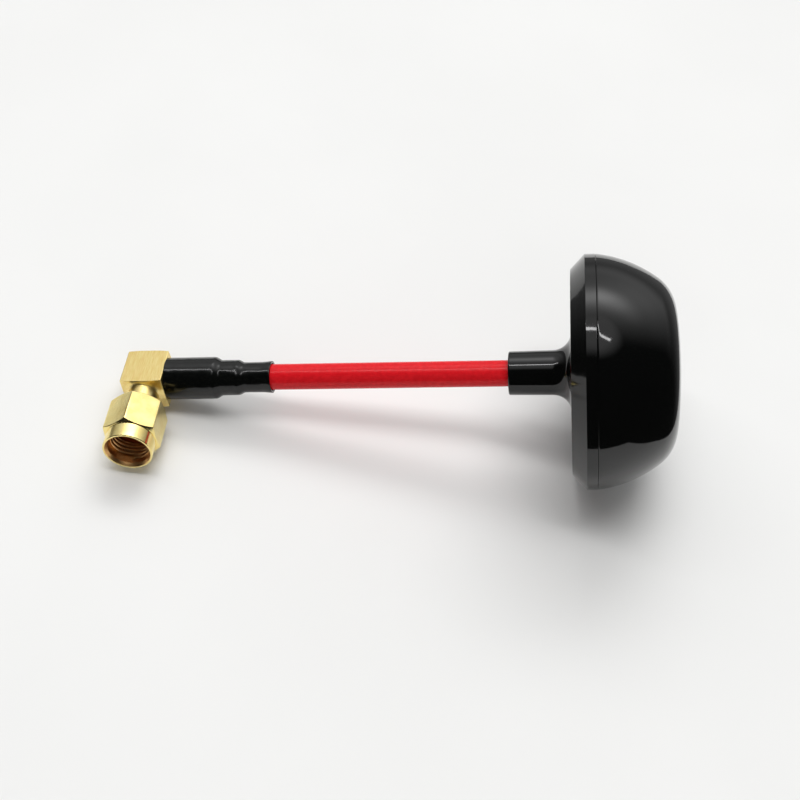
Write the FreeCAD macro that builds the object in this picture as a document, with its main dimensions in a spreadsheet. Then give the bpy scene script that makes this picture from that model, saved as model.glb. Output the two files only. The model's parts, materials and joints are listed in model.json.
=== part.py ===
import FreeCAD, Part
import math
import os
import Sketcher

# A circular polarised antenna on a short mast of jacketed semi-flexible coax, lying at rest.
# Along the mast, distances run from the middle of the right-angle connector's block to the dome.
# Along the coupling nut, they run from the mast's axis out to the nut's mouth.

V = FreeCAD.Vector
doc = FreeCAD.newDocument("antenna")
sheet = doc.addObject("Spreadsheet::Sheet", "Sizes")
rows = []


# Sizes that carry their own formula

class Size:
    """A length or an angle: its number, and the formula on the sheet that drives it."""

    def __init__(self, number, formula):
        self.number = number
        self.formula = formula

    def __add__(self, other):
        return Size(number(self) + number(other), f"({text(self)} + {text(other)})")

    def __sub__(self, other):
        return Size(number(self) - number(other), f"({text(self)} - {text(other)})")

    def __mul__(self, factor):
        return Size(number(self) * number(factor), f"({text(self)} * {text(factor)})")

    def __truediv__(self, divisor):
        return Size(number(self) / number(divisor), f"({text(self)} / {text(divisor)})")

    def __neg__(self):
        return Size(-number(self), f"(0 - {text(self)})")

    def cos(self):
        return Size(math.cos(math.radians(number(self))), f"cos({text(self)})")

    def sin(self):
        return Size(math.sin(math.radians(number(self))), f"sin({text(self)})")

    def tan(self):
        return Size(math.tan(math.radians(number(self))), f"tan({text(self)})")

    def asin(self):
        return Size(math.degrees(math.asin(number(self))), f"asin({text(self)})")

    def sqrt(self):
        return Size(math.sqrt(number(self)), f"sqrt({text(self)})")


def number(value):
    return value.number if isinstance(value, Size) else float(value)


def text(value):
    return value.formula if isinstance(value, Size) else repr(float(value))


def next_row(alias, content, value):
    """Fills the next row of the sheet, and gives back the size that it holds."""
    rows.append(alias)
    sheet.set(f"A{len(rows)}", alias)
    sheet.set(f"B{len(rows)}", content)
    sheet.setAlias(f"B{len(rows)}", alias)
    return Size(float(value), f"Sizes.{alias}")


def size(alias, value):
    """A driving size: a plain number on the sheet, under its alias."""
    return next_row(alias, str(value), value)


def derived(alias, value):
    """A size or a place that follows from others: its formula on the sheet, under its alias."""
    return next_row(alias, "=" + text(value).replace("Sizes.", ""), number(value))


# Fits
nest_gap = size("nest_gap", 0.03)
running_gap = size("running_gap", 0.05)
edge_break = size("edge_break", 0.12)

# Connector block, its barrel along the nut and its stem along the mast
block_width = size("block_width", 6.6)
block_depth = size("block_depth", 6.7)
block_height = size("block_height", 6)
block_end_land = size("block_end_land", 0.17)
block_end_angle = size("block_end_angle", 8)
barrel_length = size("barrel_length", 7.15)
barrel_radius = size("barrel_radius", 2.4)
barrel_root = size("barrel_root", 0.36)
barrel_step_depth = size("barrel_step_depth", 0.12)
barrel_wall = size("barrel_wall", 0.45)
cap_land = size("cap_land", 0.44)
cap_ledge = size("cap_ledge", 0.42)
cap_thickness = size("cap_thickness", 0.65)
cavity_room = size("cavity_room", 0.41)
stem_wall = size("stem_wall", 0.63)
stem_length = size("stem_length", 5.25)

# Coupling nut and what holds it
thread_radius = size("thread_radius", 3.175)
thread_length = size("thread_length", 4.1)
relief_depth = size("relief_depth", 0.225)
hex_wall = size("hex_wall", 0.6)
hex_length = size("hex_length", 6.25)
nut_turn = size("nut_turn", 28.9)
nut_end_land = size("nut_end_land", 0.05)
nut_end_angle = size("nut_end_angle", 30)
skirt_wall = size("skirt_wall", 0.645)
skirt_length = size("skirt_length", 2.5)
mouth_bevel_depth = size("mouth_bevel_depth", 0.34)
mouth_bevel_length = size("mouth_bevel_length", 0.5)
web_thickness = size("web_thickness", 2.2)
ring_from_tip = size("ring_from_tip", 2.85)
ring_seat = size("ring_seat", 1.1)
ring_thickness = size("ring_thickness", 0.45)
ring_bite = size("ring_bite", 0.16)
ring_proud = size("ring_proud", 0.4)
ring_opening = size("ring_opening", 34)
gasket_thickness = size("gasket_thickness", 0.7)
gasket_play = size("gasket_play", 0.35)
gasket_seat_gap = size("gasket_seat_gap", 0.15)

# Insulator and contact
insulator_set_back = size("insulator_set_back", 0.15)
contact_wall = size("contact_wall", 0.165)
contact_set_back = size("contact_set_back", 0.3)
contact_tail = size("contact_tail", 0.9)
socket_radius = size("socket_radius", 0.47)
socket_depth = size("socket_depth", 3)
socket_slot_width = size("socket_slot_width", 0.2)
socket_slot_length = size("socket_slot_length", 2.2)

# Cable
conductor_radius = size("conductor_radius", 0.46)
dielectric_radius = size("dielectric_radius", 1.49)
braid_wall = size("braid_wall", 0.27)
jacket_wall = size("jacket_wall", 0.21)
jacket_set_back = size("jacket_set_back", 0.8)
braid_in_block = size("braid_in_block", 0.75)
dielectric_bare = size("dielectric_bare", 1.2)
conductor_tail = size("conductor_tail", 0.75)
cable_in_sight = size("cable_in_sight", 37)

# Ferrule and heat-shrink sleeve
ferrule_wall = size("ferrule_wall", 0.48)
ferrule_length = size("ferrule_length", 8)
crimp_wall = size("crimp_wall", 0.37)
crimp_length = size("crimp_length", 3.65)
sleeve_wall = size("sleeve_wall", 0.38)
sleeve_tail = size("sleeve_tail", 5.2)
sleeve_shoulder = size("sleeve_shoulder", 0.75)
sleeve_flare = size("sleeve_flare", 0.13)
sleeve_flare_length = size("sleeve_flare_length", 1.6)

# Radome
neck_length = size("neck_length", 9.5)
neck_radius = size("neck_radius", 3.34)
neck_draft = size("neck_draft", 0.12)
neck_flare = size("neck_flare", 2.8)
base_depth = size("base_depth", 2.15)
base_floor = size("base_floor", 1.6)
rim_slope = size("rim_slope", 2.25)
rim_width = size("rim_width", 1.57)
rim_radius = size("rim_radius", 17.85)
lip_height = size("lip_height", 1.4)
lip_set_in = size("lip_set_in", 0.3)
lip_wall = size("lip_wall", 1)
dome_height = size("dome_height", 12.45)
dome_wall = size("dome_wall", 1.2)
crown_radius = size("crown_radius", 75)
crown_inset = size("crown_inset", 8.15)
shoulder_radius = size("shoulder_radius", 6.5)
shoulder_angle = size("shoulder_angle", 52.5)
glue_cover = size("glue_cover", 1.91)
glue_height = size("glue_height", 1.3)
glue_slope = size("glue_slope", 0.75)

# Element
wire_radius = size("wire_radius", 0.45)
lobe_past_crown = size("lobe_past_crown", 2.75)
lobe_roof_gap = size("lobe_roof_gap", 0.3)
lobe_floor_gap = size("lobe_floor_gap", 0.45)
lobe_bend = size("lobe_bend", 1.8)
lobe_half_angle = size("lobe_half_angle", 45)
ground_foot_gap = size("ground_foot_gap", 0.49)
feed_foot_gap = size("feed_foot_gap", 0.36)
hub_to_braid = size("hub_to_braid", 0.6)
hub_to_dielectric = size("hub_to_dielectric", 0.35)
hub_to_tip = size("hub_to_tip", 1)
ground_solder_cover = size("ground_solder_cover", 0.96)
ground_solder_height = size("ground_solder_height", 1.5)
feed_solder_cover = size("feed_solder_cover", 0.79)
solder_slope = size("solder_slope", 0.45)
LOBES = 3

# Radii that follow from the layer inside or outside them
braid_radius = derived("braid_radius", dielectric_radius + nest_gap + braid_wall)
jacket_radius = derived("jacket_radius", braid_radius + nest_gap + jacket_wall)
stem_radius = derived("stem_radius", braid_radius + nest_gap + stem_wall)
ferrule_radius = derived("ferrule_radius", stem_radius + nest_gap + ferrule_wall)
crimp_radius = derived("crimp_radius", jacket_radius + nest_gap + crimp_wall)
barrel_tip_radius = derived("barrel_tip_radius", barrel_radius - barrel_step_depth)
insulator_radius = derived("insulator_radius", barrel_radius - barrel_wall)
contact_radius = derived("contact_radius", socket_radius + contact_wall)
ring_inner_radius = derived("ring_inner_radius", barrel_radius - ring_bite)
ring_outer_radius = derived("ring_outer_radius", barrel_radius + ring_proud)
cap_radius = derived("cap_radius", block_height / 2 - cap_land)
cavity_radius = derived("cavity_radius", cap_radius - cap_ledge)
block_end_radius = derived("block_end_radius", block_width / 2 + block_end_land)
skirt_radius = derived("skirt_radius", thread_radius + skirt_wall)
relief_radius = derived("relief_radius", thread_radius + relief_depth)
nut_flat_reach = derived("nut_flat_reach", relief_radius + hex_wall)
hex_corner_radius = derived("hex_corner_radius", nut_flat_reach * 2 / math.sqrt(3))
nut_end_radius = derived("nut_end_radius", nut_flat_reach - nut_end_land)
nut_chamfer = derived("nut_chamfer", (hex_corner_radius - nut_end_radius) * nut_end_angle.tan())
gasket_radius = derived("gasket_radius", relief_radius - gasket_play)
glue_radius = derived("glue_radius", braid_radius + glue_cover)
base_rear_radius = derived("base_rear_radius", rim_radius - rim_slope)
lip_radius = derived("lip_radius", rim_radius - dome_wall - lip_set_in)

# Places along the nut
block_front = derived("block_front", block_depth / 2)
cavity_front = derived("cavity_front", dielectric_radius + cavity_room)
cavity_back = derived("cavity_back", block_front - cap_thickness)
barrel_tip = derived("barrel_tip", block_front + barrel_length)
ring_place = derived("ring_place", barrel_tip - ring_from_tip)
nut_start = derived("nut_start", ring_place - ring_seat)
web_front = derived("web_front", nut_start + web_thickness)
barrel_step = derived("barrel_step", web_front + gasket_seat_gap)
hex_end = derived("hex_end", nut_start + hex_length)
mouth = derived("mouth", hex_end + skirt_length)
bevel_start = derived("bevel_start", mouth - mouth_bevel_length)
thread_start = derived("thread_start", bevel_start - thread_length)

# Places along the mast
block_face = derived("block_face", block_width / 2)
stem_end = derived("stem_end", block_face + stem_length)
jacket_start = derived("jacket_start", stem_end + jacket_set_back)
braid_start = derived("braid_start", block_face - braid_in_block)
dielectric_start = derived("dielectric_start", braid_start - dielectric_bare)
ferrule_end = derived("ferrule_end", block_face + ferrule_length)
crimp_end = derived("crimp_end", ferrule_end + crimp_length)
sleeve_end = derived("sleeve_end", crimp_end + sleeve_tail)
neck_start = derived("neck_start", sleeve_end + cable_in_sight)
base_rear = derived("base_rear", neck_start + neck_length)
floor_top = derived("floor_top", base_rear + base_floor)
rim_start = derived("rim_start", base_rear + base_depth)
seam = derived("seam", rim_start + rim_width)
lip_end = derived("lip_end", seam + lip_height)
dome_top = derived("dome_top", seam + dome_height)

# Centres of the dome's arcs, each tangent to the next, the side arc ending on the seam at the rim
crown_edge = derived("crown_edge", rim_radius - crown_inset)
crown_angle = derived("crown_angle", (crown_edge / crown_radius).asin())
crown_to_shoulder = crown_radius - shoulder_radius
shoulder_place = derived("shoulder_place", dome_top - crown_radius + crown_to_shoulder * crown_angle.cos())
shoulder_offset = derived("shoulder_offset", crown_to_shoulder * crown_angle.sin())
span_along = derived("span_along", seam - shoulder_place - shoulder_radius * shoulder_angle.cos())
span_out = derived("span_out", rim_radius - shoulder_offset - shoulder_radius * shoulder_angle.sin())
span_slant = -(span_along * shoulder_angle.cos() + span_out * shoulder_angle.sin())
side_radius = derived("side_radius", (span_along * span_along + span_out * span_out) / (span_slant * 2))
shoulder_to_side = side_radius - shoulder_radius
side_place = derived("side_place", shoulder_place - shoulder_to_side * shoulder_angle.cos())
side_offset = derived("side_offset", shoulder_offset - shoulder_to_side * shoulder_angle.sin())

# The element's room, from the base's floor up to the shoulder's inside over the lobes
lobe_radius = derived("lobe_radius", crown_edge + lobe_past_crown)
shoulder_inside = shoulder_radius - dome_wall
lobe_side = lobe_radius + wire_radius - shoulder_offset
roof_rise = (shoulder_inside * shoulder_inside - lobe_side * lobe_side).sqrt()
lobe_top = derived("lobe_top", shoulder_place + roof_rise - lobe_roof_gap)
lobe_bottom = derived("lobe_bottom", floor_top + lobe_floor_gap)
hub_place = derived("hub_place", (lobe_top + lobe_bottom) / 2)
lobe_rise = (lobe_top - lobe_bottom) / 2 - wire_radius
lobe_tilt = derived("lobe_tilt", (lobe_rise / (lobe_radius * lobe_half_angle.sin())).asin())
ground_foot = derived("ground_foot", braid_radius + ground_foot_gap)
feed_foot = derived("feed_foot", conductor_radius + feed_foot_gap)
ground_solder_radius = derived("ground_solder_radius", braid_radius + ground_solder_cover)
feed_solder_radius = derived("feed_solder_radius", conductor_radius + feed_solder_cover)
doc.recompute()


# How the antenna lies, on the dome's rim, the block's far lower corner and one corner of the nut

def resting_turn():
    """The mast's turn about its own axis, and its climb, once all three feet are level."""
    # the nut's corner on the floor is half a turn round from its top one, less half a flat
    down = math.radians(number(nut_turn) + 150)
    foot_out = -number(hex_corner_radius) * math.cos(down)
    foot_along = number(hex_corner_radius) * math.sin(down)
    foot_reach = number(nut_start + nut_chamfer)
    turn = 0.0
    # each pass sets the climb from the turn, then the turn from the climb, until both stand still
    for _ in range(40):
        half_height = number(block_height) / 2
        block_foot = half_height * math.cos(turn) - number(block_front) * math.sin(turn)
        climb = math.atan((number(rim_radius) - block_foot) / (number(rim_start) + number(block_face)))
        lean = (number(block_face) + foot_along) * math.tan(climb)
        turn = math.asin(
            (lean - (foot_out - half_height) * math.cos(turn)) / (number(block_front) + foot_reach)
        )
    return math.degrees(turn), math.degrees(climb)


mast_turn, mast_climb = resting_turn()
LYING = FreeCAD.Rotation(V(0, 1, 0), -mast_climb) * FreeCAD.Rotation(V(1, 0, 0), mast_turn)
ALONG_MAST = FreeCAD.Placement()
ALONG_NUT = FreeCAD.Placement(V(), FreeCAD.Rotation(V(0, 0, 1), -90))
BEHIND_NUT = FreeCAD.Placement(V(), FreeCAD.Rotation(V(0, 0, 1), 90))
placed = []


def lay(feature, own_place):
    """Puts a piece in its own place on the antenna, turned as the antenna lies."""
    placed.append((feature, own_place))
    feature.Placement = FreeCAD.Placement(V(), LYING) * own_place


# Sketches and features

def origin_plane(body, role):
    for feature in body.Origin.OriginFeatures:
        if feature.Role == role:
            return feature


def sketch_on(body, role, title, offset=None):
    sketch = body.newObject("Sketcher::SketchObject", f"{body.Name}_{title}")
    sketch.AttachmentSupport = [(origin_plane(body, role), "")]
    sketch.MapMode = "FlatFace"
    if offset is not None:
        sketch.setExpression("AttachmentOffset.Base.z", text(offset))
    return sketch


def hold(sketch, kind, *items):
    """A constraint whose last item is its size."""
    index = sketch.addConstraint(Sketcher.Constraint(kind, *items[:-1], number(items[-1])))
    sketch.setExpression(f"Constraints[{index}]", text(items[-1]))


def pin(sketch, line, end, across, up):
    """Holds one end of a line at its two distances from the origin; a plain 0 puts it on the axis."""
    for kind, distance, axis in (("DistanceX", across, -2), ("DistanceY", up, -1)):
        if isinstance(distance, Size):
            hold(sketch, kind, -1, 1, line, end, distance)
        else:
            sketch.addConstraint(Sketcher.Constraint("PointOnObject", line, end, axis))


def outline(sketch, corners):
    """A closed outline of straight lines through the corners."""
    points = [V(number(across), number(up), 0) for across, up in corners]
    for index, point in enumerate(points):
        sketch.addGeometry(Part.LineSegment(point, points[(index + 1) % len(points)]), False)
    for index in range(len(points)):
        following = (index + 1) % len(points)
        sketch.addConstraint(Sketcher.Constraint("Coincident", index, 2, following, 1))
    for index, (across, up) in enumerate(corners):
        pin(sketch, index, 1, across, up)


def circle(sketch, radius):
    index = sketch.addGeometry(Part.Circle(V(), V(0, 0, 1), number(radius)), False)
    sketch.addConstraint(Sketcher.Constraint("Coincident", index, 3, -1, 1))
    hold(sketch, "Radius", index, radius)


def new_body(name, own_place):
    body = doc.addObject("PartDesign::Body", name)
    body.Label = name
    lay(body, own_place)
    return body


def spin(body, kind, title, corners, axis="H_Axis", angle=360):
    """Turns an outline of (along, radius) corners about an axis: a Revolution adds, a Groove cuts."""
    sketch = sketch_on(body, "XY_Plane", f"{title}_outline")
    outline(sketch, corners)
    feature = body.newObject(f"PartDesign::{kind}", f"{body.Name}_{title}")
    feature.Profile = sketch
    feature.ReferenceAxis = (sketch, [axis])
    feature.setExpression("Angle", text(angle))
    doc.recompute()
    return feature


def turned(name, own_place, corners, angle=360):
    """A piece turned in one operation."""
    body = new_body(name, own_place)
    spin(body, "Revolution", "turning", corners, angle=angle)
    return body


def tube(name, start, end, outer, inner=0):
    """A plain round layer of the cable, along the mast."""
    return turned(name, ALONG_MAST, [(start, inner), (end, inner), (end, outer), (start, outer)])


def slot(body, title, role, start, end, half_width, through):
    """Cuts a slot of equal halves right through the piece, along its axis."""
    sketch = sketch_on(body, role, f"{title}_outline")
    outline(sketch, [(start, -half_width), (end, -half_width), (end, half_width), (start, half_width)])
    feature = body.newObject("PartDesign::Pocket", f"{body.Name}_{title}")
    feature.Profile = sketch
    feature.setExpression("Length", text(through))
    feature.Midplane = True
    doc.recompute()


def round_edges(feature, x, y):
    """Names of a feature's circular edges centred at x, y on its own piece."""
    names = []
    for index, edge in enumerate(feature.Shape.Edges):
        curve = edge.Curve
        if isinstance(curve, Part.Circle) and edge.isClosed():
            centre_error = abs(curve.Center.x - number(x))
            if centre_error < 0.001 and abs(curve.Radius - number(y)) < 0.001:
                names.append(f"Edge{index + 1}")
    return names


def dress(body, kind, title, feature, edges, amount):
    """A PartDesign Fillet or Chamfer of one amount on the given edges."""
    dressing = body.newObject(f"PartDesign::{kind}", f"{body.Name}_{title}")
    dressing.Base = (feature, edges)
    dressing.setExpression("Radius" if kind == "Fillet" else "Size", text(amount))
    doc.recompute()
    return dressing


# Connector body: a squared bar, faced off at both ends, with its barrel, its cable stem and the bores

def connector_body():
    body = new_body("connector_body", ALONG_NUT)
    square = sketch_on(body, "XY_Plane", "block_outline")
    corners = [
        (-block_front, -block_face),
        (block_front, -block_face),
        (block_front, block_face),
        (-block_front, block_face),
    ]
    outline(square, corners)
    block = body.newObject("PartDesign::Pad", "block")
    block.Profile = square
    block.setExpression("Length", text(block_height))
    block.Midplane = True
    doc.recompute()

    # the lathe takes the square's corners off at each end, which leaves shallow arcs on its flats
    clear = block_width
    slope = (clear - block_end_radius) * block_end_angle.tan()
    for title, end, inward in (("front", block_front, -slope), ("rear", -block_front, slope)):
        cut = [(end, block_end_radius), (end, clear), (end + inward, clear)]
        spin(body, "Groove", f"{title}_facing", cut)

    groove_half = ring_thickness / 2 + running_gap
    groove_radius = ring_inner_radius - running_gap
    barrel = [
        (block_front - edge_break, 0),
        (barrel_tip, 0),
        (barrel_tip, barrel_tip_radius - edge_break / 2),
        (barrel_tip - edge_break, barrel_tip_radius),
        (barrel_step, barrel_tip_radius),
        (barrel_step, barrel_radius),
        (ring_place + groove_half, barrel_radius),
        (ring_place + groove_half, groove_radius),
        (ring_place - groove_half, groove_radius),
        (ring_place - groove_half, barrel_radius),
        (block_front + barrel_root, barrel_radius),
        (block_front, barrel_radius + barrel_root),
        (block_front - edge_break, barrel_radius + barrel_root),
    ]
    spin(body, "Revolution", "barrel", barrel)
    stem = [
        (0, block_face - edge_break),
        (stem_radius, block_face - edge_break),
        (stem_radius, stem_end),
        (0, stem_end),
    ]
    spin(body, "Revolution", "stem", stem, axis="V_Axis")

    bore = insulator_radius + nest_gap
    bores = [
        (-block_front - edge_break, 0),
        (barrel_tip + edge_break, 0),
        (barrel_tip + edge_break, bore),
        (cavity_front, bore),
        (cavity_front, cavity_radius),
        (-cavity_back, cavity_radius),
        (-cavity_back, cap_radius + nest_gap),
        (-block_front - edge_break, cap_radius + nest_gap),
    ]
    spin(body, "Groove", "bores", bores)
    cable_bore = braid_radius + nest_gap
    cable_way = [(0, 0), (cable_bore, 0), (cable_bore, stem_end + edge_break), (0, stem_end + edge_break)]
    spin(body, "Groove", "cable_bore", cable_way, axis="V_Axis")
    return body


# Cap pressed into the back of the block, over the soldered joint

def rear_cap():
    return turned(
        "rear_cap",
        BEHIND_NUT,
        [
            (cavity_back, 0),
            (block_front, 0),
            (block_front, cap_radius - edge_break),
            (block_front - edge_break, cap_radius),
            (cavity_back, cap_radius),
        ],
    )


# Coupling nut: turned blank with its bore, then six milled flats up to the skirt

def coupling_nut():
    spun = FreeCAD.Placement(V(), FreeCAD.Rotation(V(1, 0, 0), -number(nut_turn)))
    body = new_body("coupling_nut", ALONG_NUT * spun)
    groove_half = ring_thickness / 2 + running_gap
    groove_radius = ring_outer_radius + running_gap
    web_radius = barrel_radius + running_gap
    section = [
        (nut_start, web_radius),
        (nut_start, nut_end_radius),
        (nut_start + nut_chamfer, hex_corner_radius),
        (hex_end - nut_chamfer, hex_corner_radius),
        (hex_end, nut_end_radius),
        (hex_end, skirt_radius),
        (mouth - edge_break, skirt_radius),
        (mouth, skirt_radius - edge_break),
        (mouth, thread_radius + mouth_bevel_depth),
        (bevel_start, thread_radius),
        (thread_start, thread_radius),
        (thread_start, relief_radius),
        (web_front, relief_radius),
        (web_front, web_radius),
        (ring_place + groove_half, web_radius),
        (ring_place + groove_half, groove_radius),
        (ring_place - groove_half, groove_radius),
        (ring_place - groove_half, web_radius),
    ]
    spin(body, "Revolution", "blank", section)

    mill = sketch_on(body, "YZ_Plane", "flats_outline", nut_start - edge_break)
    flat = nut_flat_reach
    half_side = hex_corner_radius / 2
    hexagon = [
        (half_side, flat),
        (-half_side, flat),
        (-hex_corner_radius, 0),
        (-half_side, -flat),
        (half_side, -flat),
        (hex_corner_radius, 0),
    ]
    outline(mill, hexagon)
    circle(mill, hex_corner_radius + skirt_length)
    flats = body.newObject("PartDesign::Pocket", "flats")
    flats.Profile = mill
    flats.setExpression("Length", text(hex_length + edge_break * 2))
    flats.Reversed = True
    doc.recompute()
    return body


# Spring ring in the two facing grooves, and the soft ring that seals against the mating thread's end

def snap_ring():
    half = ring_thickness / 2
    section = [
        (ring_place - half, ring_inner_radius),
        (ring_place + half, ring_inner_radius),
        (ring_place + half, ring_outer_radius),
        (ring_place - half, ring_outer_radius),
    ]
    closed_part = Size(360, "360") - ring_opening
    return turned("snap_ring", ALONG_NUT, section, angle=closed_part)


def nut_gasket():
    inner = barrel_tip_radius + nest_gap
    end = barrel_step + gasket_thickness
    section = [(barrel_step, inner), (end, inner), (end, gasket_radius), (barrel_step, gasket_radius)]
    return turned("nut_gasket", ALONG_NUT, section)


# Insulator, and the sprung socket contact whose slotted tail takes the cable's centre wire

def contact_insulator():
    inner = contact_radius + nest_gap
    end = barrel_tip - insulator_set_back
    section = [
        (cavity_front, inner),
        (end, inner),
        (end, insulator_radius),
        (cavity_front, insulator_radius),
    ]
    return turned("contact_insulator", ALONG_NUT, section)


def centre_contact():
    body = new_body("centre_contact", ALONG_NUT)
    tip = barrel_tip - contact_set_back
    section = [
        (-contact_tail, 0),
        (tip - socket_depth, 0),
        (tip - socket_depth, socket_radius),
        (tip, socket_radius),
        (tip, contact_radius),
        (-contact_tail, contact_radius),
    ]
    spin(body, "Revolution", "turning", section)
    across = contact_radius * 4
    slot_start = tip - socket_slot_length
    for title, role in (("slot", "XY_Plane"), ("cross_slot", "XZ_Plane")):
        slot(body, title, role, slot_start, tip + edge_break, socket_slot_width / 2, across)
    wire_half = conductor_radius + nest_gap
    slot(body, "tail_slot", "XZ_Plane", -contact_tail - edge_break, wire_half, wire_half, across)
    return body


# Ferrule over the stem and the cable, and the sleeve shrunk over it, with its open flared end

def cable_ferrule():
    over_stem = stem_radius + nest_gap
    over_jacket = jacket_radius + nest_gap
    section = [
        (block_face, over_stem),
        (block_face, ferrule_radius - edge_break),
        (block_face + edge_break, ferrule_radius),
        (ferrule_end - edge_break, ferrule_radius),
        (ferrule_end, ferrule_radius - edge_break),
        (ferrule_end, crimp_radius),
        (crimp_end - edge_break, crimp_radius),
        (crimp_end, crimp_radius - edge_break),
        (crimp_end, over_jacket),
        (stem_end + nest_gap, over_jacket),
        (stem_end + nest_gap, over_stem),
    ]
    return turned("cable_ferrule", ALONG_MAST, section)


def heat_shrink_sleeve():
    steps = (
        (block_face + nest_gap, ferrule_end, ferrule_radius),
        (ferrule_end + sleeve_shoulder, crimp_end, crimp_radius),
        (crimp_end + sleeve_shoulder, sleeve_end - sleeve_flare_length, jacket_radius),
    )
    inside = []
    outside = []
    for start, end, radius in steps:
        inside += [(start, radius + nest_gap), (end, radius + nest_gap)]
        outside += [(start, radius + sleeve_wall), (end, radius + sleeve_wall)]
    inside.append((sleeve_end, jacket_radius + nest_gap + sleeve_flare))
    outside.append((sleeve_end, jacket_radius + sleeve_wall + sleeve_flare))
    return turned("heat_shrink_sleeve", ALONG_MAST, inside + outside[::-1])


# Cable: jacket, tinned braid, dielectric and centre wire, each stripped back as its end needs

def cable():
    braid_end = hub_place - hub_to_braid
    dielectric_end = hub_place - hub_to_dielectric
    wire_end = hub_place + hub_to_tip
    over_braid = braid_radius + nest_gap
    over_dielectric = dielectric_radius + nest_gap
    over_wire = conductor_radius + nest_gap
    return [
        tube("cable_jacket", jacket_start, floor_top, jacket_radius, over_braid),
        tube("coax_braid", braid_start, braid_end, braid_radius, over_dielectric),
        tube("coax_dielectric", dielectric_start, dielectric_end, dielectric_radius, over_wire),
        tube("coax_centre_wire", -conductor_tail, wire_end, conductor_radius),
    ]


# Radome: moulded base with its drafted neck, and the dome that closes on the base's lip

def radome_base():
    bore = jacket_radius + running_gap
    root_radius = neck_radius + neck_draft
    lip_inner = lip_radius - lip_wall
    section = [
        (neck_start, bore),
        (neck_start, neck_radius),
        (base_rear, root_radius),
        (base_rear, base_rear_radius),
        (rim_start, rim_radius),
        (seam, rim_radius),
        (seam, lip_radius),
        (lip_end, lip_radius),
        (lip_end, lip_inner),
        (floor_top, lip_inner),
        (floor_top, bore),
    ]
    body = new_body("radome_base", ALONG_MAST)
    moulding = spin(body, "Revolution", "moulding", section)
    neck_root = round_edges(moulding, base_rear, root_radius)
    flare = dress(body, "Fillet", "neck_flare", moulding, neck_root, neck_flare)
    mouth_edge = round_edges(flare, neck_start, neck_radius)
    dress(body, "Fillet", "neck_edge", flare, mouth_edge, edge_break * 2)
    return body


def dome_outline(sketch, inset):
    """Half outline of the dome, set in by a wall: crown, shoulder and side arcs, tangent to each other."""
    crown_end = math.radians(number(crown_angle))
    shoulder_end = math.radians(number(shoulder_angle))
    side_end = math.acos(number(seam - side_place) / number(side_radius - inset))
    bends = (
        (dome_top - crown_radius, 0, crown_radius - inset, 0.0, crown_end),
        (shoulder_place, shoulder_offset, shoulder_radius - inset, crown_end, shoulder_end),
        (side_place, side_offset, side_radius - inset, shoulder_end, side_end),
    )
    for index, (along, out, radius, start, finish) in enumerate(bends):
        ring = Part.Circle(V(number(along), number(out), 0), V(0, 0, 1), number(radius))
        sketch.addGeometry(Part.ArcOfCircle(ring, start, finish), False)
        hold(sketch, "Radius", index, radius)
    end = sketch.Geometry[2].EndPoint
    foot = V(number(seam), 0, 0)
    sketch.addGeometry(Part.LineSegment(end, foot), False)
    sketch.addGeometry(Part.LineSegment(foot, V(number(dome_top - inset), 0, 0)), False)
    for before, after in ((0, 1), (1, 2)):
        sketch.addConstraint(Sketcher.Constraint("Tangent", before, 2, after, 1))
    for before, end_of, after, start_of in ((2, 2, 3, 1), (3, 2, 4, 1), (4, 2, 0, 1)):
        sketch.addConstraint(Sketcher.Constraint("Coincident", before, end_of, after, start_of))
    sketch.addConstraint(Sketcher.Constraint("PointOnObject", 0, 3, -1))
    hold(sketch, "DistanceY", -1, 1, 1, 3, shoulder_offset)
    hold(sketch, "DistanceY", -1, 1, 2, 3, side_offset)
    pin(sketch, 3, 2, seam, 0)
    pin(sketch, 4, 2, dome_top - inset, 0)
    hold(sketch, "DistanceX", -1, 1, 2, 2, seam)


def radome_dome():
    body = new_body("radome_dome", ALONG_MAST)
    for kind, inset in (("Revolution", Size(0, "0")), ("Groove", dome_wall)):
        sketch = sketch_on(body, "XY_Plane", f"{kind}_outline")
        dome_outline(sketch, inset)
        feature = body.newObject(f"PartDesign::{kind}", f"dome_{kind}")
        feature.Profile = sketch
        feature.ReferenceAxis = (sketch, ["H_Axis"])
        feature.Angle = 360
        doc.recompute()
    recess = lip_radius + running_gap
    recess_end = lip_end + running_gap
    cut = [(seam - edge_break, 0), (recess_end, 0), (recess_end, recess), (seam - edge_break, recess)]
    spin(body, "Groove", "lip_recess", cut)
    return body


# Bead of hot glue that holds the cable in the base

def glue_bead():
    inner = braid_radius + nest_gap
    section = [
        (floor_top, inner),
        (floor_top, glue_radius),
        (floor_top + glue_height / 2, glue_radius - glue_slope / 2),
        (floor_top + glue_height, glue_radius - glue_slope * 2),
        (floor_top + glue_height, inner),
    ]
    return turned("glue_bead", ALONG_MAST, section)


# Element: each lobe is one bent wire, from the braid out, round its arc and back to the centre wire

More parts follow.
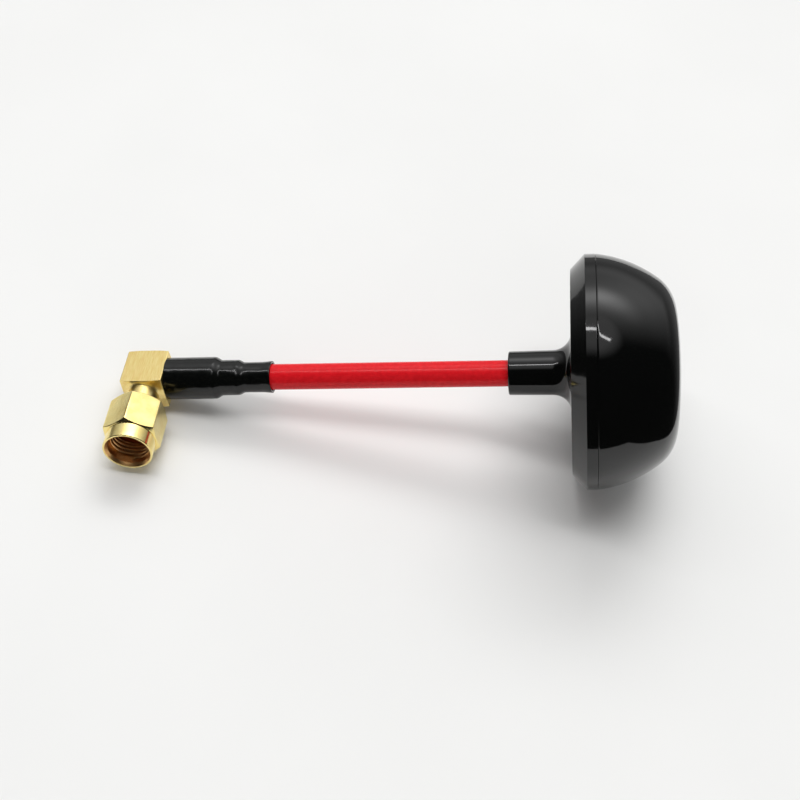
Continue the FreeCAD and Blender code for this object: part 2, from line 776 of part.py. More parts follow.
def lobe(index):
    upright = FreeCAD.Rotation(V(0, 1, 0), 90)
    round_hub = FreeCAD.Rotation(V(0, 0, 1), index * 360 / LOBES)
    tilted = FreeCAD.Rotation(V(1, 0, 0), number(lobe_tilt))
    first_leg = FreeCAD.Rotation(V(0, 0, 1), -number(lobe_half_angle))
    own_place = FreeCAD.Placement(V(number(hub_place), 0, 0), upright * round_hub * tilted * first_leg)
    body = new_body(f"lobe_wire_{index + 1}", own_place)

    path = sketch_on(body, "XY_Plane", "path")
    radius, bend = number(lobe_radius), number(lobe_bend)
    opening = math.radians(2 * number(lobe_half_angle))
    straight = math.sqrt((radius - bend) ** 2 - bend**2)
    corner = math.atan2(bend, straight)
    across = V(math.cos(opening), math.sin(opening), 0)
    inward = V(math.sin(opening), -math.cos(opening), 0)
    near = V(straight, bend, 0)
    far = across * straight + inward * bend
    path.addGeometry(Part.LineSegment(V(number(ground_foot), 0, 0), V(straight, 0, 0)), False)
    bends = (
        (near, bend, -math.pi / 2, corner),
        (V(), radius, corner, opening - corner),
        (far, bend, opening - corner, opening + math.pi / 2),
    )
    for middle, size_of, start, finish in bends:
        path.addGeometry(Part.ArcOfCircle(Part.Circle(middle, V(0, 0, 1), size_of), start, finish), False)
    path.addGeometry(Part.LineSegment(across * straight, across * number(feed_foot)), False)
    for before in range(4):
        path.addConstraint(Sketcher.Constraint("Tangent", before, 2, before + 1, 1))
    path.addConstraint(Sketcher.Constraint("Coincident", 2, 3, -1, 1))
    path.addConstraint(Sketcher.Constraint("Equal", 1, 3))
    path.addConstraint(Sketcher.Constraint("PointOnObject", 0, 2, -1))
    hold(path, "Radius", 2, lobe_radius)
    hold(path, "Radius", 1, lobe_bend)
    pin(path, 0, 1, ground_foot, 0)
    whole = lobe_half_angle * 2
    hold(path, "DistanceX", -1, 1, 4, 2, feed_foot * whole.cos())
    hold(path, "DistanceY", -1, 1, 4, 2, feed_foot * whole.sin())
    path.addConstraint(Sketcher.Constraint("PointOnObject", -1, 1, 4))

    section = sketch_on(body, "YZ_Plane", "section", ground_foot)
    circle(section, wire_radius)
    wire = body.newObject("PartDesign::AdditivePipe", f"bent_wire_{index + 1}")
    wire.Profile = section
    wire.Spine = path
    doc.recompute()
    return body


def solder_joint(name, corners, wires):
    """A turned blob of solder with the wires' own room cut out of it."""
    blob = turned(f"{name}_blob", ALONG_MAST, corners)
    room = doc.addObject("Part::MultiFuse", f"{name}_wires")
    room.Shapes = wires
    joint = doc.addObject("Part::Cut", name)
    joint.Base = blob
    joint.Tool = room
    joint.Label = name
    doc.recompute()
    return joint


def solder_joints(wires):
    braid_end = hub_place - hub_to_braid
    ground_start = braid_end - ground_solder_height
    braid_side = braid_radius + nest_gap
    ground = [
        (ground_start, braid_side),
        (braid_end, braid_side),
        (braid_end, ground_solder_radius - solder_slope),
        (braid_end - solder_slope, ground_solder_radius),
        (ground_start + solder_slope, ground_solder_radius),
        (ground_start, ground_solder_radius - solder_slope),
    ]
    wire_side = conductor_radius + nest_gap
    feed_start = hub_place + nest_gap * 2
    feed_end = hub_place + hub_to_tip
    feed = [
        (feed_start, wire_side),
        (feed_end, wire_side),
        (feed_end, feed_solder_radius - solder_slope),
        (feed_end - solder_slope, feed_solder_radius),
        (feed_start, feed_solder_radius),
    ]
    return [solder_joint("ground_solder", ground, wires), solder_joint("feed_solder", feed, wires)]


# Build, in the order in which the antenna goes together

lobes = [lobe(index) for index in range(LOBES)]
pieces = [
    connector_body(),
    rear_cap(),
    coupling_nut(),
    snap_ring(),
    nut_gasket(),
    contact_insulator(),
    centre_contact(),
    cable_ferrule(),
    heat_shrink_sleeve(),
    *cable(),
    radome_base(),
    radome_dome(),
    glue_bead(),
    *lobes,
    *solder_joints(lobes),
]

# Move the origin to the middle of the ground that the antenna covers
whole = Part.makeCompound([piece.Shape for piece in pieces]).optimalBoundingBox(True, False)
to_origin = V(-(whole.XMin + whole.XMax) / 2, -(whole.YMin + whole.YMax) / 2, -whole.ZMin)
for feature, own_place in placed:
    feature.Placement = FreeCAD.Placement(to_origin, LYING) * own_place
doc.recompute()

failed = [item.Label for item in doc.Objects if "Invalid" in item.State or "Error" in item.State]
if failed:
    raise RuntimeError(f"these did not build: {failed}")
for piece in pieces:
    shape = piece.Shape
    if shape.isNull() or not shape.isValid() or len(shape.Solids) != 1:
        raise RuntimeError(f"{piece.Label} is not one sound solid")

os.makedirs("parts", exist_ok=True)
for piece in pieces:
    piece.Shape.exportStep(f"parts/{piece.Label}.step")

nut_out = LYING.multVec(V(0, -1, 0))
thread_middle = number(thread_start) + number(thread_length) / 2
nut_middle = to_origin + nut_out * thread_middle
print(f"{len(pieces)} pieces, climb {mast_climb:.3f}, turn {mast_turn:.3f}")
print(f"to origin {tuple(to_origin)}, thread middle {tuple(nut_middle)}, out {tuple(nut_out)}")
print(f"whole {whole.XLength:.3f} x {whole.YLength:.3f} x {whole.ZLength:.3f}")
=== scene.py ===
import json
import math

import bmesh
import bpy
from mathutils import Matrix, Vector, noise


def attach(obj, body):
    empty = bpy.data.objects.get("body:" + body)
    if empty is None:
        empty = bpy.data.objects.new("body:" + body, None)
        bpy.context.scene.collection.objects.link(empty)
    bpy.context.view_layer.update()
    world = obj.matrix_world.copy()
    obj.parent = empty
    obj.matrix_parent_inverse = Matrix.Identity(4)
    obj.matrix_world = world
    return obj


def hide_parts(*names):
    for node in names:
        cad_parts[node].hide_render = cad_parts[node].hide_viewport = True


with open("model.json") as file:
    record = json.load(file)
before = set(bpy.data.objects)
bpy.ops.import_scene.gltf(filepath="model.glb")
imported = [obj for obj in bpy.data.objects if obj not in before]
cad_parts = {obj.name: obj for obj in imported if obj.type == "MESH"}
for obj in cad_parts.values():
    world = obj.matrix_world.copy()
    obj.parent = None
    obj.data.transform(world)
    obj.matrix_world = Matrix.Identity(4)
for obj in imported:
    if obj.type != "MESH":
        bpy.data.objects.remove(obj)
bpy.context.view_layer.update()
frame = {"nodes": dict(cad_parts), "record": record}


# How the antenna lies
# It rests on the dome's rim, the block's far lower corner and one corner of the nut. Every piece is drawn in
# millimetres from the middle of the connector's block, along the mast (x) and away from the nut (y), then laid down.

thread_mount = frame["record"]["mounts"][0]
out_of_nut = Vector(thread_mount["axis"]).normalized()
out_of_block = Vector((out_of_nut.z, 0, -out_of_nut.x)).normalized()
THREAD_MIDDLE = 12.75
block_middle = Vector(thread_mount["pos_m"]) - out_of_nut * THREAD_MIDDLE / 1000
axes = Matrix((out_of_block, -out_of_nut, out_of_block.cross(-out_of_nut))).transposed()
laid = Matrix.Translation(block_middle) @ axes.to_4x4() @ Matrix.Scale(0.001, 4)


# Connector body
# A squared brass bar, faced on a lathe at both ends, with its barrel and its cable stem turned in one piece with it.
# The bar is brushed along the nut's axis and the whole is gold plated.

def along_mast(along, across, up):
    return Vector((along, across, up))


def along_nut(along, across, up):
    return Vector((across, -along, up))


def eased(corners, steps=5):
    """Closed section of (along, out, radius) corners, each rounded by its own radius."""
    points = []
    for index, (along, out, radius) in enumerate(corners):
        here = Vector((along, out))
        before = Vector(corners[index - 1][:2]) - here
        after = Vector(corners[(index + 1) % len(corners)][:2]) - here
        if not radius:
            points.append(tuple(here))
            continue
        half = before.angle(after) / 2
        reach = min(radius / math.tan(half), before.length * 0.48, after.length * 0.48)
        radius = reach * math.tan(half)
        centre = here + (before.normalized() + after.normalized()).normalized() * radius / math.sin(half)
        first = here + before.normalized() * reach - centre
        last = here + after.normalized() * reach - centre
        turn = math.atan2(first.x * last.y - first.y * last.x, first.dot(last))
        for step in range(steps + 1):
            spoke = Matrix.Rotation(turn * step / steps, 2) @ first
            points.append(tuple(centre + spoke))
    return points


def around(count, corners=1, first=0.0, crowding=0.0):
    """Angles of a turning, crowded towards evenly spaced corners."""
    angles = []
    for index in range(count):
        part = index * corners / count
        whole = math.floor(part)
        part -= whole
        part -= crowding * math.sin(math.tau * part) / math.tau
        angles.append(first + (whole + part) * math.tau / corners)
    return angles


def milled(out, angle, flats, sharpness=90):
    """Radius of a turning once flats are milled on it, each a (direction, distance), with slightly rounded edges."""
    total = out ** -sharpness
    for direction, distance in flats:
        toward = math.cos(angle - direction)
        if toward > 0.1:
            total += (toward / distance) ** sharpness
    return total ** (-1 / sharpness)


def turned(name, section, axis, angles, reach=None):
    """Turns a section of (along, out) points about an axis; reach(along, out, angle) may change the radius."""
    work = bmesh.new()
    rings = []
    for along, out in section:
        if out < 1e-6:
            rings.append([work.verts.new(laid @ axis(along, 0, 0))])
            continue
        ring = []
        for angle in angles:
            radius = reach(along, out, angle) if reach else out
            place = axis(along, radius * math.cos(angle), radius * math.sin(angle))
            ring.append(work.verts.new(laid @ place))
        rings.append(ring)
    pairs = list(zip(rings, rings[1:]))
    if len(rings[0]) > 1:
        pairs.append((rings[-1], rings[0]))
    for near, far in pairs:
        for index in range(len(angles)):
            following = (index + 1) % len(angles)
            corners = [near[index % len(near)], near[following % len(near)]]
            corners += [far[following % len(far)], far[index % len(far)]]
            work.faces.new(dict.fromkeys(corners))
    bmesh.ops.recalc_face_normals(work, faces=work.faces)
    mesh = bpy.data.meshes.new(name)
    work.to_mesh(mesh)
    work.free()
    mesh.shade_smooth()
    piece = bpy.data.objects.new(name, mesh)
    bpy.context.scene.collection.objects.link(piece)
    return piece


def fitted(piece, body, slot, finish, *stands_for):
    """Gives a finished piece its material, its body and the CAD solids that it stands for."""
    piece.data.materials.clear()
    piece.data.materials.append(finish)
    even = piece.modifiers.new("even_shading", "WEIGHTED_NORMAL")
    even.keep_sharp = True
    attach(piece, body)
    if stands_for:
        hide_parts(*stands_for)


class Signal:
    """A value in a material: arithmetic on it adds Math nodes."""

    def __init__(self, finish, socket):
        self.finish = finish
        self.socket = socket

    def math(self, operation, *values):
        return self.finish.node("ShaderNodeMath", {"operation": operation}, dict(enumerate(values)))

    def __add__(self, other):
        return self.math("ADD", self, other)

    def __radd__(self, other):
        return self.math("ADD", other, self)

    def __sub__(self, other):
        return self.math("SUBTRACT", self, other)

    def __rsub__(self, other):
        return self.math("SUBTRACT", other, self)

    def __mul__(self, other):
        return self.math("MULTIPLY", self, other)

    def __truediv__(self, other):
        return self.math("DIVIDE", self, other)

    def power(self, exponent):
        return self.math("POWER", self, exponent)

    def sine(self):
        return self.math("SINE", self)

    def larger(self, other):
        return self.math("MAXIMUM", self, other)

    def between(self, low, high):
        """0 below low, 1 above high, and smooth from one to the other."""
        limits = {"From Min": low, "From Max": high}
        return self.finish.node(
            "ShaderNodeMapRange", {"interpolation_type": "SMOOTHSTEP"}, {"Value": self, **limits}
        )


class Finish:
    """One material. Its places are in millimetres on the antenna's own axes."""

    def __init__(self, name):
        self.material = bpy.data.materials.new(name)
        self.material.use_nodes = True
        self.tree = self.material.node_tree
        self.tree.nodes.clear()
        turn = laid.to_euler()
        self.place = self.node(
            "ShaderNodeMapping",
            {"vector_type": "TEXTURE"},
            {
                "Vector": self.node("ShaderNodeTexCoord", output="Object"),
                "Location": block_middle,
                "Rotation": turn,
                "Scale": (0.001, 0.001, 0.001),
            },
        )

    def node(self, kind, settings=None, values=None, output=0):
        """Adds a node: its settings first, then the values or links of its sockets."""
        made = self.tree.nodes.new(kind)
        for key, value in (settings or {}).items():
            setattr(made, key, value)
        for key, value in (values or {}).items():
            if isinstance(value, Signal):
                self.tree.links.new(value.socket, made.inputs[key])
            else:
                made.inputs[key].default_value = value
        return Signal(self, made.outputs[output]) if made.outputs else None

    def axes(self):
        """The three parts of a place."""
        return [self.node("ShaderNodeSeparateXYZ", None, {"Vector": self.place}, output) for output in range(3)]

    def joined(self, *parts):
        return self.node("ShaderNodeCombineXYZ", None, dict(enumerate(parts)))

    def cloud(self, scale, detail=3.0, place=None):
        """Noise around 0.5, with features about 1 / scale millimetres across."""
        values = {"Vector": place or self.place, "Scale": scale, "Detail": detail}
        return self.node("ShaderNodeTexNoise", None, values)

    def mixed(self, amount, first, second):
        """A colour part of the way from the first to the second."""
        return self.node(
            "ShaderNodeMix", {"data_type": "RGBA"}, {0: amount, 6: first, 7: second}, output=2
        )

    def surface(self, **values):
        """The shader itself; a height in millimetres becomes a Bump."""
        height = values.pop("height", None)
        values = {key.replace("_", " "): value for key, value in values.items()}
        if height is not None:
            values["Normal"] = self.node("ShaderNodeBump", None, {"Height": height, "Distance": 0.001})
        shader = self.node("ShaderNodeBsdfPrincipled", None, values)
        self.node("ShaderNodeOutputMaterial", None, {"Surface": shader})
        return self.material


def brushed_gold():
    finish = Finish("gold_brushed")
    across, out, up = finish.axes()
    hairs = finish.cloud(1.0, 4, finish.joined(across * 9, out * 0.5, up * 9))
    bands = finish.cloud(1.0, 2, finish.joined(across * 1.6, out * 0.12, up * 1.6))
    wear = finish.cloud(0.7, 4)
    colour = finish.mixed(hairs.between(0.3, 0.7), (0.90, 0.69, 0.25, 1), (1.0, 0.83, 0.38, 1))
    colour = finish.mixed(bands.between(0.35, 0.7) * 0.3, colour, (0.90, 0.61, 0.22, 1))
    colour = finish.mixed(wear.between(0.55, 0.8) * 0.25, colour, (0.82, 0.52, 0.18, 1))
    return finish.surface(
        Base_Color=colour,
        Metallic=1.0,
        Roughness=0.24 + hairs * 0.1 + bands * 0.08,
        height=hairs * 0.0045 + bands * 0.006,
    )


BLOCK_WIDTH = 6.6
BLOCK_HEIGHT = 6.0
BLOCK_FRONT = 3.35
FACING_START = 3.47
FACING_SLOPE = math.tan(math.radians(8))
PAST_CORNER = 5.0
CAVITY_FRONT = 1.9
CAVITY_RADIUS = 2.2
CAP_SEAT = 2.7
CAP_BORE = 2.59
FOOT_LENGTH = 0.36
FOOT_RADIUS = 2.78
BARREL_RADIUS = 2.4
BARREL_BORE = 1.98
BARREL_STEP = 8.9
BARREL_TIP = 10.5
TIP_RADIUS = 2.28
GROOVE = (7.37, 7.93)
GROOVE_RADIUS = 2.19

cone_points = []
for step in range(25):
    out = FACING_START + (PAST_CORNER - FACING_START) * step / 24
    cone_points.append((BLOCK_FRONT - (out - FACING_START) * FACING_SLOPE, out))
rear_section = [
    (-CAP_SEAT, CAVITY_RADIUS, 0),
    (-CAP_SEAT, CAP_BORE, 0),
    (-BLOCK_FRONT, CAP_BORE, 0.04),
]
front_section = [
    (BLOCK_FRONT, FOOT_RADIUS, 0),
    (BLOCK_FRONT + FOOT_LENGTH, BARREL_RADIUS, 0.25),
    (GROOVE[0], BARREL_RADIUS, 0.02),
    (GROOVE[0], GROOVE_RADIUS, 0.02),
    (GROOVE[1], GROOVE_RADIUS, 0.02),
    (GROOVE[1], BARREL_RADIUS, 0.02),
    (BARREL_STEP, BARREL_RADIUS, 0.03),
    (BARREL_STEP, TIP_RADIUS, 0.02),
    (BARREL_TIP, TIP_RADIUS, 0.1),
    (BARREL_TIP, BARREL_BORE, 0.05),
    (CAVITY_FRONT, BARREL_BORE, 0),
    (CAVITY_FRONT, CAVITY_RADIUS, 0),
]
rear = [(-along, out) for along, out in cone_points]
front = cone_points[::-1]
section = eased([*rear_section, *((a, o, 0) for a, o in rear), *((a, o, 0) for a, o in front), *front_section])
block_flats = [(0, BLOCK_WIDTH / 2), (math.pi, BLOCK_WIDTH / 2)]
block_flats += [(math.pi / 2, BLOCK_HEIGHT / 2), (-math.pi / 2, BLOCK_HEIGHT / 2)]


def block_reach(along, out, angle):
    return milled(out, angle, block_flats)


gold_brushed = brushed_gold()
connector_body = turned(
    "connector_block", section, along_nut, around(224, 4, math.pi / 4, 0.9), block_reach
)
fitted(connector_body, "mast", "gold_brushed", gold_brushed, "connector_body")


# Rear cap
# A thin turned cap, pressed into the block's back over the soldered joint, with a faint dish and a centre mark. It is
# plated and polished as the nut is.

def polished_gold():
    finish = Finish("gold_polished")
    across, out, up = finish.axes()
    radius = (across * across + up * up).power(0.5)
    rings = finish.cloud(1.0, 3, finish.joined(out * 14, radius * 14, 0.0))
    smears = finish.cloud(0.5, 4)
    # painted shade: deeper in the nut's bore the gold is painted a darker orange brown, standing for the shade and
    # the gold's reflections of itself in there, and it is also made rougher
    painted_bore_shade = (1.0 - radius.between(3.45, 3.6)) * (0.0 - out).between(8.0, 9.0)
    colour = finish.mixed(smears.between(0.35, 0.7), (0.93, 0.74, 0.28, 1), (1.0, 0.85, 0.38, 1))
    # the base colour takes the painted shade of the bore
    return finish.surface(
        Base_Color=finish.mixed(painted_bore_shade, colour, (0.86, 0.50, 0.20, 1)),
        Metallic=1.0,
        Roughness=0.13 + smears * 0.08 + painted_bore_shade * 0.2,
        height=rings * 0.0012 + smears * 0.012,
    )


def pressed_cap_back(along, across, up):
    """Places along the nut's axis, counted out of the block's back."""
    return Vector((-across, along, up))


gold_polished = polished_gold()
CAP_RADIUS = 2.56
BORDER_RADIUS = 1.9
DISH_RADIUS = 1.75
DISH_BOTTOM = BLOCK_FRONT - 0.1
MARK_RADIUS = 0.3
MARK_BOTTOM = BLOCK_FRONT - 0.2
cap_section = [(CAP_SEAT, 0.0)]
cap_section += eased(
    [(CAP_SEAT, CAP_RADIUS, 0.05), (BLOCK_FRONT, CAP_RADIUS, 0.12), (BLOCK_FRONT - 0.02, BORDER_RADIUS, 0.1)]
)
cap_section += [(DISH_BOTTOM, DISH_RADIUS), (DISH_BOTTOM, MARK_RADIUS), (MARK_BOTTOM, 0.0)]
cap = turned("rear_cap_pressed", cap_section, pressed_cap_back, around(96))
fitted(cap, "mast", "gold_polished", gold_polished, "rear_cap")


# Coupling nut
# An eight millimetre hexagon turned from brass bar, chamfered at both ends, with a round skirt and a fine right-hand
# thread inside, then gold plated. It is held on the barrel by a spring ring and turns freely.

NUT_START = 6.55
HEX_END = 12.8
MOUTH = 15.3
BEVEL_START = 14.8
THREAD_START = 10.7
THREAD_END = 13.9
FLAT = 4.0
NUT_TURN = math.radians(28.9)
HEX_CORNER = FLAT / math.cos(math.pi / 6)
CHAMFER = math.tan(math.radians(30))
CHAMFER_FOOT = 3.95
THREAD_RADIUS = 3.175
SKIRT_RADIUS = 3.82
MOUTH_RADIUS = 3.515
RELIEF_RADIUS = 3.4
WEB_FRONT = 8.75
WEB_BORE = 2.45
RING_SPACE = 2.85

nut_cone = [CHAMFER_FOOT + (HEX_CORNER + 0.1 - CHAMFER_FOOT) * step / 20 for step in range(21)]
near_cone = [(NUT_START + (out - CHAMFER_FOOT) * CHAMFER, out) for out in nut_cone]
far_cone = [(HEX_END - (out - CHAMFER_FOOT) * CHAMFER, out) for out in nut_cone[::-1]]
nut_section = eased(
    [
        (NUT_START, WEB_BORE, 0.03),
        *((along, out, 0) for along, out in near_cone),
        *((along, out, 0) for along, out in far_cone),
        (HEX_END, SKIRT_RADIUS, 0.03),
        (MOUTH, SKIRT_RADIUS, 0.12),
        (MOUTH, MOUTH_RADIUS, 0.04),
        (BEVEL_START, THREAD_RADIUS, 0.04),
        (THREAD_START, THREAD_RADIUS, 0.02),
        (THREAD_START, RELIEF_RADIUS, 0.02),
        (WEB_FRONT, RELIEF_RADIUS, 0.03),
        (WEB_FRONT, WEB_BORE, 0.03),
        (GROOVE[1], WEB_BORE, 0),
        (GROOVE[1], RING_SPACE, 0),
        (GROOVE[0], RING_SPACE, 0),
        (GROOVE[0], WEB_BORE, 0),
    ]
)
hex_flats = [(NUT_TURN + math.radians(side * 60 + 30), FLAT) for side in range(6)]


def nut_reach(along, out, angle):
    on_hexagon = out > SKIRT_RADIUS + 0.1
    return milled(out, angle, hex_flats) if on_hexagon else out


nut = turned("coupling_nut_turned", nut_section, along_nut, around(216, 6, NUT_TURN, 0.9), nut_reach)
fitted(nut, "nut", "gold_polished", gold_polished, "coupling_nut")

RIDGE = {
    "Bore radius": THREAD_RADIUS,
    "Pitch": 0.7056,
    "Length": 3.0,
    "Height": 0.26,
    "Root": 0.66,
    "Crest": 0.2,
}
RIDGE_START = THREAD_START + 0.1
RIDGE_SINK = 0.02
RUN_IN = 0.7
RUN_OUT = 1.2


def wound_ridge():
    """Geometry Nodes: a tapered ridge wound inside a bore as a right-hand helix."""
    tree = bpy.data.node_groups.new("wound_ridge", "GeometryNodeTree")
    tree.interface.new_socket("Geometry", in_out="OUTPUT", socket_type="NodeSocketGeometry")
    identifiers = {}
    for title in RIDGE:
        item = tree.interface.new_socket(title, in_out="INPUT", socket_type="NodeSocketFloat")
        identifiers[title] = item.identifier

    def add(kind, values, **settings):
        made = tree.nodes.new(kind)
        for key, value in settings.items():
            setattr(made, key, value)
        for key, value in values.items():
            if isinstance(value, bpy.types.NodeSocket):
                tree.links.new(value, made.inputs[key])
            else:
                made.inputs[key].default_value = value
        return made.outputs[0] if made.outputs else None

    entry = tree.nodes.new("NodeGroupInput")
    asked = {title: entry.outputs[title] for title in RIDGE}
    turns = add("ShaderNodeMath", {0: asked["Length"], 1: asked["Pitch"]}, operation="DIVIDE")
    half_height = add("ShaderNodeMath", {0: asked["Height"], 1: 0.5}, operation="MULTIPLY")
    middle = add("ShaderNodeMath", {0: asked["Bore radius"], 1: half_height}, operation="SUBTRACT")
    middle = add("ShaderNodeMath", {0: middle, 1: RIDGE_SINK}, operation="ADD")
    helix = add(
        "GeometryNodeCurveSpiral",
        {
            "Resolution": 64,
            "Rotations": turns,
            "Start Radius": middle,
            "End Radius": middle,
            "Height": asked["Length"],
        },
    )
    helix = add("GeometryNodeSetCurveNormal", {"Curve": helix}, mode="Z_UP")
    profile = add(
        "GeometryNodeCurvePrimitiveQuadrilateral",
        {"Height": asked["Height"], "Bottom Width": asked["Root"], "Top Width": asked["Crest"], "Offset": 0.0},
        mode="TRAPEZOID",
    )
    profile = add("GeometryNodeTransform", {"Geometry": profile, "Rotation": (0, 0, math.pi / 2)})
    ridge = add("GeometryNodeCurveToMesh", {"Curve": helix, "Profile Curve": profile, "Fill Caps": True})
    ridge = add("GeometryNodeRealizeInstances", {"Geometry": ridge})
    ridge = add("GeometryNodeSetMaterial", {"Geometry": ridge, "Material": gold_polished})
    add("NodeGroupOutput", {0: ridge})
    return tree, identifiers


def plain_from_nodes(name, tree, identifiers, sizes):
    """The plain mesh that a Geometry Nodes tree makes from its sizes."""
    holder = bpy.data.objects.new(name, bpy.data.meshes.new(name))
    bpy.context.scene.collection.objects.link(holder)
    modifier = holder.modifiers.new("made", "NODES")
    modifier.node_group = tree
    for title, value in sizes.items():
        modifier[identifiers[title]] = value
    evaluated = holder.evaluated_get(bpy.context.evaluated_depsgraph_get())
    mesh = bpy.data.meshes.new_from_object(evaluated)
    holder.modifiers.clear()
    holder.data = mesh
    return holder


thread = plain_from_nodes("nut_thread", *wound_ridge(), RIDGE)
for vertex in thread.data.vertices:
    across, up, along = vertex.co
    along += RIDGE_START
    radius = math.hypot(across, up)
    # the ridge fades out towards the mouth and towards the relief behind it
    fading = max(THREAD_RADIUS - (THREAD_END - along) * RUN_IN, THREAD_RADIUS - (along - THREAD_START) * RUN_OUT)
    scale = max(radius, min(fading, THREAD_RADIUS + RIDGE_SINK)) / radius
    vertex.co = laid @ along_nut(along, across * scale, up * scale)
thread.data.shade_smooth()
fitted(thread, "nut", "gold_polished", gold_polished)


# Ring, seal, insulator and contact
# What the nut and the barrel hold inside: a spring ring of bare bronze, a soft seal that the mating thread presses
# on, the turned fluoropolymer insulator, and the gold plated socket with its four slotted fingers.

def dressed(finish, *nodes):
    """Gives solids of the CAD model their material."""
    for node in nodes:
        for place in frame["nodes"][node].material_slots:
            place.material = finish


def drawn_metal(name, dark, light, roughness, relief=0.003):
    """Bare or plated metal with faint marks of drawing or turning."""
    finish = Finish(name)
    marks = finish.cloud(3.0, 4)
    stains = finish.cloud(0.8, 3)
    return finish.surface(
        Base_Color=finish.mixed(stains.between(0.3, 0.7), dark, light),
        Metallic=1.0,
        Roughness=roughness + marks * 0.12,
        height=marks * relief,
    )


def soft_plastic(name, dark, light, roughness, relief=0.01):
    """Plain plastic or rubber with a slightly uneven tone and skin."""
    finish = Finish(name)
    tone = finish.cloud(1.1, 4)
    skin = finish.cloud(6.0, 3)
    return finish.surface(
        Base_Color=finish.mixed(tone.between(0.3, 0.7), dark, light),
        Roughness=roughness + skin * 0.15,
        height=skin * relief + tone * relief,
    )


insulator_white = soft_plastic("insulator_white", (0.78, 0.77, 0.73, 1), (0.88, 0.87, 0.84, 1), 0.4)
dressed(drawn_metal("spring_bronze", (0.50, 0.30, 0.14, 1), (0.64, 0.42, 0.22, 1), 0.3), "snap_ring")
dressed(soft_plastic("seal_silicone", (0.45, 0.09, 0.04, 1), (0.60, 0.15, 0.07, 1), 0.55, 0.02), "nut_gasket")
dressed(insulator_white, "contact_insulator", "coax_dielectric")
dressed(gold_polished, "centre_contact")


# Ferrule and coax
# A nickel plated brass ferrule is crimped over the stem and the cable. Inside the jacket are the tin soaked braid,
# the dielectric and the silver plated centre wire.

def soaked_braid():
    finish = Finish("braid_tinned")
    along, across, up = finish.axes()
    turn = finish.node("ShaderNodeMath", {"operation": "ARCTAN2"}, {0: up, 1: across})
    strands = (turn * 12 + along * 7.5).sine().larger((turn * 12 - along * 7.5).sine())
    tin = finish.cloud(2.5, 4)
    return finish.surface(
        Base_Color=finish.mixed(tin.between(0.35, 0.7), (0.52, 0.51, 0.48, 1), (0.74, 0.73, 0.70, 1)),
        Metallic=1.0,
        Roughness=0.25 + tin * 0.2,
        height=strands * 0.03 + tin * 0.02,
    )


dressed(drawn_metal("ferrule_nickel", (0.60, 0.59, 0.55, 1), (0.74, 0.73, 0.70, 1), 0.2), "cable_ferrule")
dressed(soaked_braid(), "coax_braid")
dressed(drawn_metal("wire_silvered", (0.78, 0.77, 0.74, 1), (0.90, 0.89, 0.86, 1), 0.15), "coax_centre_wire")


# Sleeve
# Black heat-shrink tube, shrunk hot over the stepped ferrule and the cable. It shows two soft shoulders where the
# ferrule steps down, small wrinkles, and an open end that stands off the cable a little.

def shrunk_black():
    finish = Finish("sleeve_black")
    grain = finish.cloud(2.2, 5)
    along, across, up = finish.axes()
    drawn = finish.cloud(1.0, 3, finish.joined(along * 0.5, across * 3, up * 3))
    return finish.surface(
        Base_Color=finish.mixed(grain.between(0.3, 0.8), (0.0015, 0.002, 0.0018, 1), (0.004, 0.0045, 0.004, 1)),
        Roughness=0.11 + grain * 0.08,
        Specular_IOR_Level=0.42,
        height=grain * 0.002 + drawn * 0.006,
    )


SLEEVE_STEPS = [(3.33, 3.33), (11.05, 3.33), (12.2, 2.8), (14.7, 2.8), (15.8, 2.4), (18.5, 2.4), (20.15, 2.53)]
SLEEVE_WALL = 0.34
SHOULDERS = ((11.6, 1.0), (15.2, 0.9))


def sleeve_radius(along):
    for (start, first), (end, last) in zip(SLEEVE_STEPS, SLEEVE_STEPS[1:]):
        if along <= end:
            part = (along - start) / (end - start)
            part = part * part * (3 - 2 * part)
            return first + (last - first) * part
    return SLEEVE_STEPS[-1][1]


def wrinkled(along, out, angle):
    if out < sleeve_radius(along) - 0.2:
        return out
    place = Vector((along * 0.55, 3 * math.cos(angle) * 0.5, 3 * math.sin(angle) * 0.5))
    near_shoulder = sum(math.exp(-(((along - middle) / spread) ** 2)) for middle, spread in SHOULDERS)
    fold = noise.noise(place * 1.7) * (0.012 + 0.045 * near_shoulder)
    return out + fold - 0.02


SLEEVE_START, SLEEVE_END = SLEEVE_STEPS[0][0], SLEEVE_STEPS[-1][0]
outside = []
for step in range(141):
    along = SLEEVE_START + (SLEEVE_END - SLEEVE_START) * step / 140
    outside.append((along, sleeve_radius(along)))
inside = [(along, out - SLEEVE_WALL) for along, out in outside[::-1]]
sleeve_black = shrunk_black()
sleeve = turned("shrunk_sleeve", outside + inside, along_mast, around(128), wrinkled)
fitted(sleeve, "mast", "sleeve_black", sleeve_black, "heat_shrink_sleeve")


# Cable jacket
# Thin glossy red jacket extruded over the tinned braid, whose crossing strands show through it as a fine relief.

def red_jacket():
    finish = Finish("jacket_red")
    along, across, up = finish.axes()
    turn = finish.node("ShaderNodeMath", {"operation": "ARCTAN2"}, {0: up, 1: across})
    one_way = (turn * 12 + along * 7.5).sine()
    other_way = (turn * 12 - along * 7.5).sine()
    braid = one_way.larger(other_way)
    tone = finish.cloud(1.5, 3)
    return finish.surface(
        Base_Color=finish.mixed(tone.between(0.3, 0.75), (0.66, 0.008, 0.014, 1), (0.76, 0.012, 0.019, 1)),
        Roughness=0.16 + tone * 0.1,
        Specular_IOR_Level=0.2,
        height=braid * 0.002 + tone * 0.004,
    )


